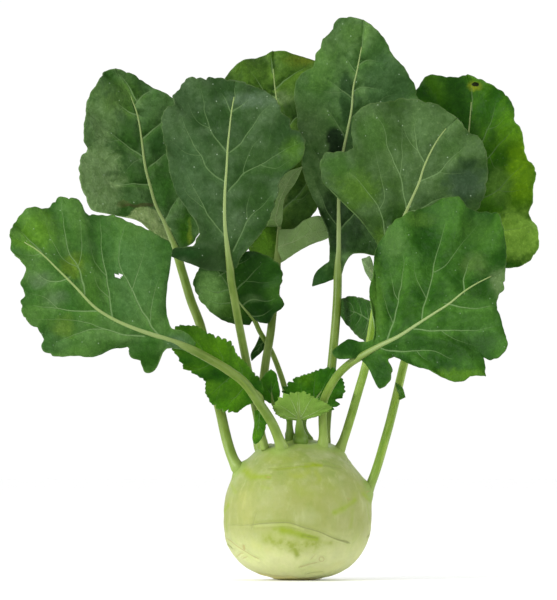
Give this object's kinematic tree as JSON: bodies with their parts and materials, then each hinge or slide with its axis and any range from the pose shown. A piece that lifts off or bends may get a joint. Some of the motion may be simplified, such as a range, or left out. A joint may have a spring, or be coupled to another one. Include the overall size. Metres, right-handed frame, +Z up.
{
  "type": "kohlrabi",
  "caption": "Fresh kohlrabi: a round pale green swollen stem with its long-stalked, lobed dark green leaves standing up from it.",
  "frame": {"origin": "middle of the flat root cut under the bulb", "axes": "+Z up through the bulb, -Y towards the front, +X to the right seen from the front"},
  "size_m": [0.2869, 0.1511, 0.3063],
  "materials": {
    "bulb": "waxy pale green skin with thin tan leaf scars and a yellowish root cut",
    "stalk": "smooth pale green stalk and rib",
    "leaf": "dark green leaf with a faint waxy bloom and pale veins, paler underneath",
    "young_leaf": "bright green leaf with pale veins",
    "leaf_under_side": "pale matt green under side with raised veins"
  },
  "bodies": {
    "root": {"bulb": "bulb", "leaf_back_left_blade": "leaf", "leaf_back_left_stalk": "stalk", "leaf_back_middle_blade": "young_leaf", "leaf_back_middle_lobe_1": "leaf_under_side", "leaf_back_middle_lobe_2": "leaf_under_side", "leaf_back_middle_stalk": "stalk", "leaf_back_right_blade": "young_leaf", "leaf_back_right_lobe_1": "leaf", "leaf_back_right_stalk": "stalk", "leaf_front_left_blade": "leaf", "leaf_front_left_stalk": "stalk", "leaf_front_right_blade": "leaf", "leaf_front_right_stalk": "stalk", "leaf_heart_green_blade": "young_leaf", "leaf_heart_green_stalk": "stalk", "leaf_heart_pale_blade": "leaf_under_side", "leaf_heart_pale_stalk": "stalk", "leaf_heart_tip_blade": "young_leaf", "leaf_heart_tip_stalk": "stalk", "leaf_inner_left_blade": "leaf", "leaf_inner_left_lobe_1": "leaf", "leaf_inner_left_stalk": "stalk", "leaf_mid_left_blade": "leaf", "leaf_mid_left_stalk": "stalk", "leaf_mid_right_blade": "leaf", "leaf_mid_right_lobe_1": "leaf", "leaf_mid_right_lobe_2": "leaf_under_side", "leaf_mid_right_stalk": "stalk", "leaf_small_left_blade": "young_leaf", "leaf_small_left_lobe_1": "young_leaf", "leaf_small_left_stalk": "stalk", "leaf_tall_back_blade": "leaf", "leaf_tall_back_stalk": "stalk"}
  },
  "joints": []
}
